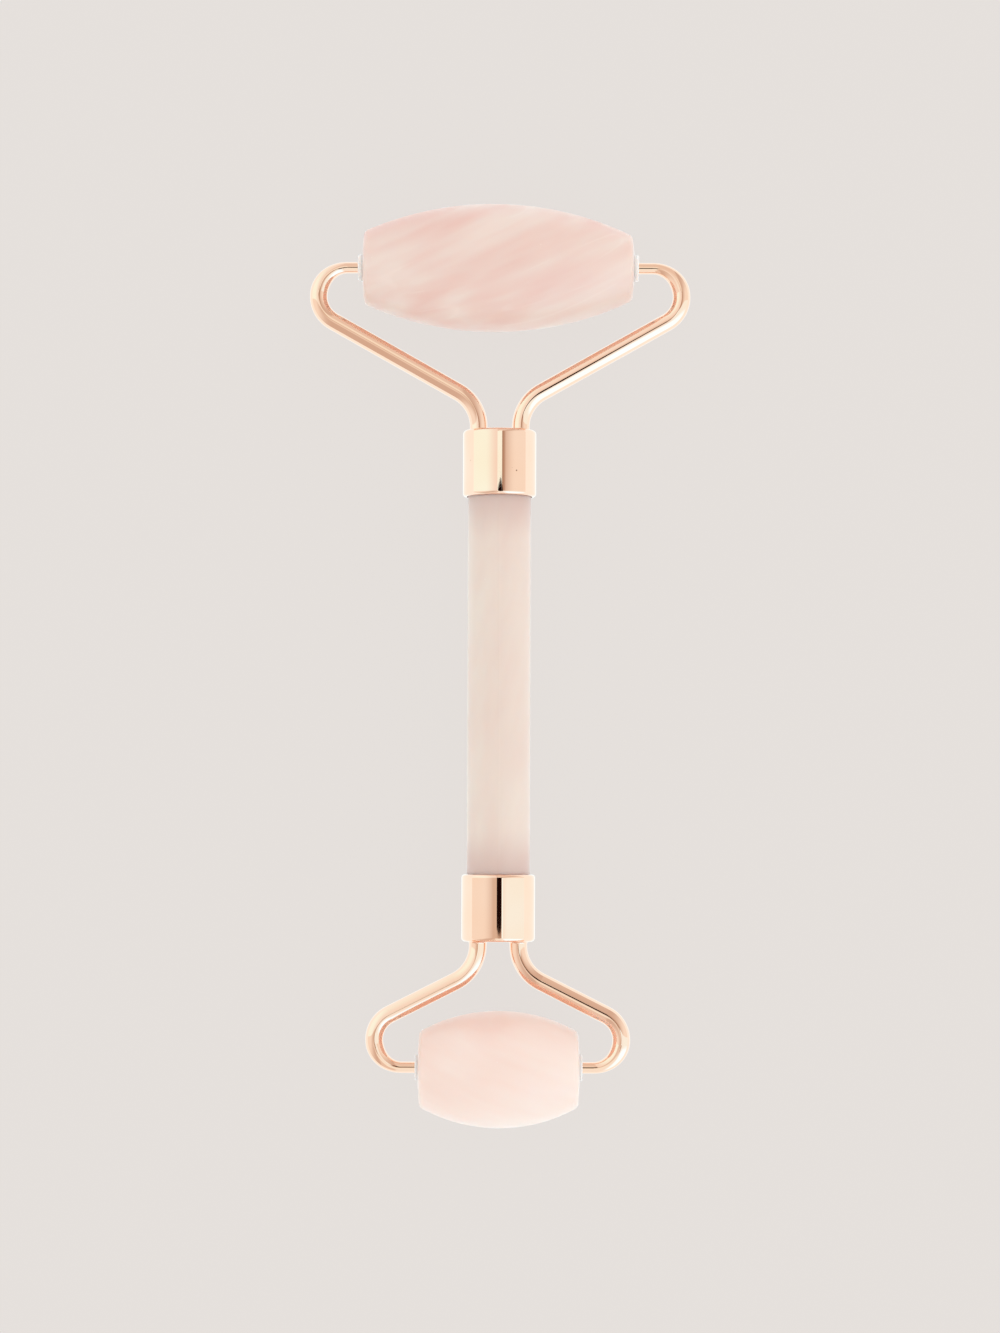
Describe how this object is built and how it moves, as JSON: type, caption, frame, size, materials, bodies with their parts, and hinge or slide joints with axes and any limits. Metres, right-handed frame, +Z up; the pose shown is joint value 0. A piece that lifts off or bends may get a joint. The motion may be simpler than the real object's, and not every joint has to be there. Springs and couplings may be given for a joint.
{
  "type": "face roller",
  "caption": "Hand-held facial massage roller: a polished stone rod with a wire yoke at each end, one holding a long barrel-shaped stone and the other a short one, both free to spin.",
  "frame": {"origin": "middle of the footprint, on the surface that the roller lies on", "axes": "+Y along the handle towards the large stone, +X along the rollers' axles, +Z up"},
  "size_m": [0.0606, 0.1468, 0.0204],
  "materials": {
    "handle_quartz": "polished",
    "large_quartz": "polished",
    "small_quartz": "polished",
    "ferrule_plating": "polished",
    "wire_plating": "polished",
    "braze": "polished",
    "nylon": "satin",
    "adhesive": "gloss"
  },
  "bodies": {
    "frame": {"handle_stone": "handle_quartz", "large_ferrule": "ferrule_plating", "large_ferrule_glue": "adhesive", "large_left_yoke_arm": "wire_plating", "large_left_braze_ring": "braze", "large_right_yoke_arm": "wire_plating", "large_right_braze_ring": "braze", "small_ferrule": "ferrule_plating", "small_ferrule_glue": "adhesive", "small_left_yoke_arm": "wire_plating", "small_left_braze_ring": "braze", "small_right_yoke_arm": "wire_plating", "small_right_braze_ring": "braze"},
    "large_roller": {"large_roller_stone": "large_quartz", "large_left_bush": "nylon", "large_left_bush_bond": "adhesive", "large_right_bush": "nylon", "large_right_bush_bond": "adhesive"},
    "small_roller": {"small_roller_stone": "small_quartz", "small_left_bush": "nylon", "small_left_bush_bond": "adhesive", "small_right_bush": "nylon", "small_right_bush_bond": "adhesive"}
  },
  "joints": [
    {"name": "large_roller_spin", "type": "hinge", "parent": "frame", "child": "large_roller", "pos_m": [0, 0.06325, 0.0102], "axis": [1, 0, 0], "continuous": true},
    {"name": "small_roller_spin", "type": "hinge", "parent": "frame", "child": "small_roller", "pos_m": [0, -0.0639, 0.0102], "axis": [1, 0, 0], "continuous": true}
  ]
}
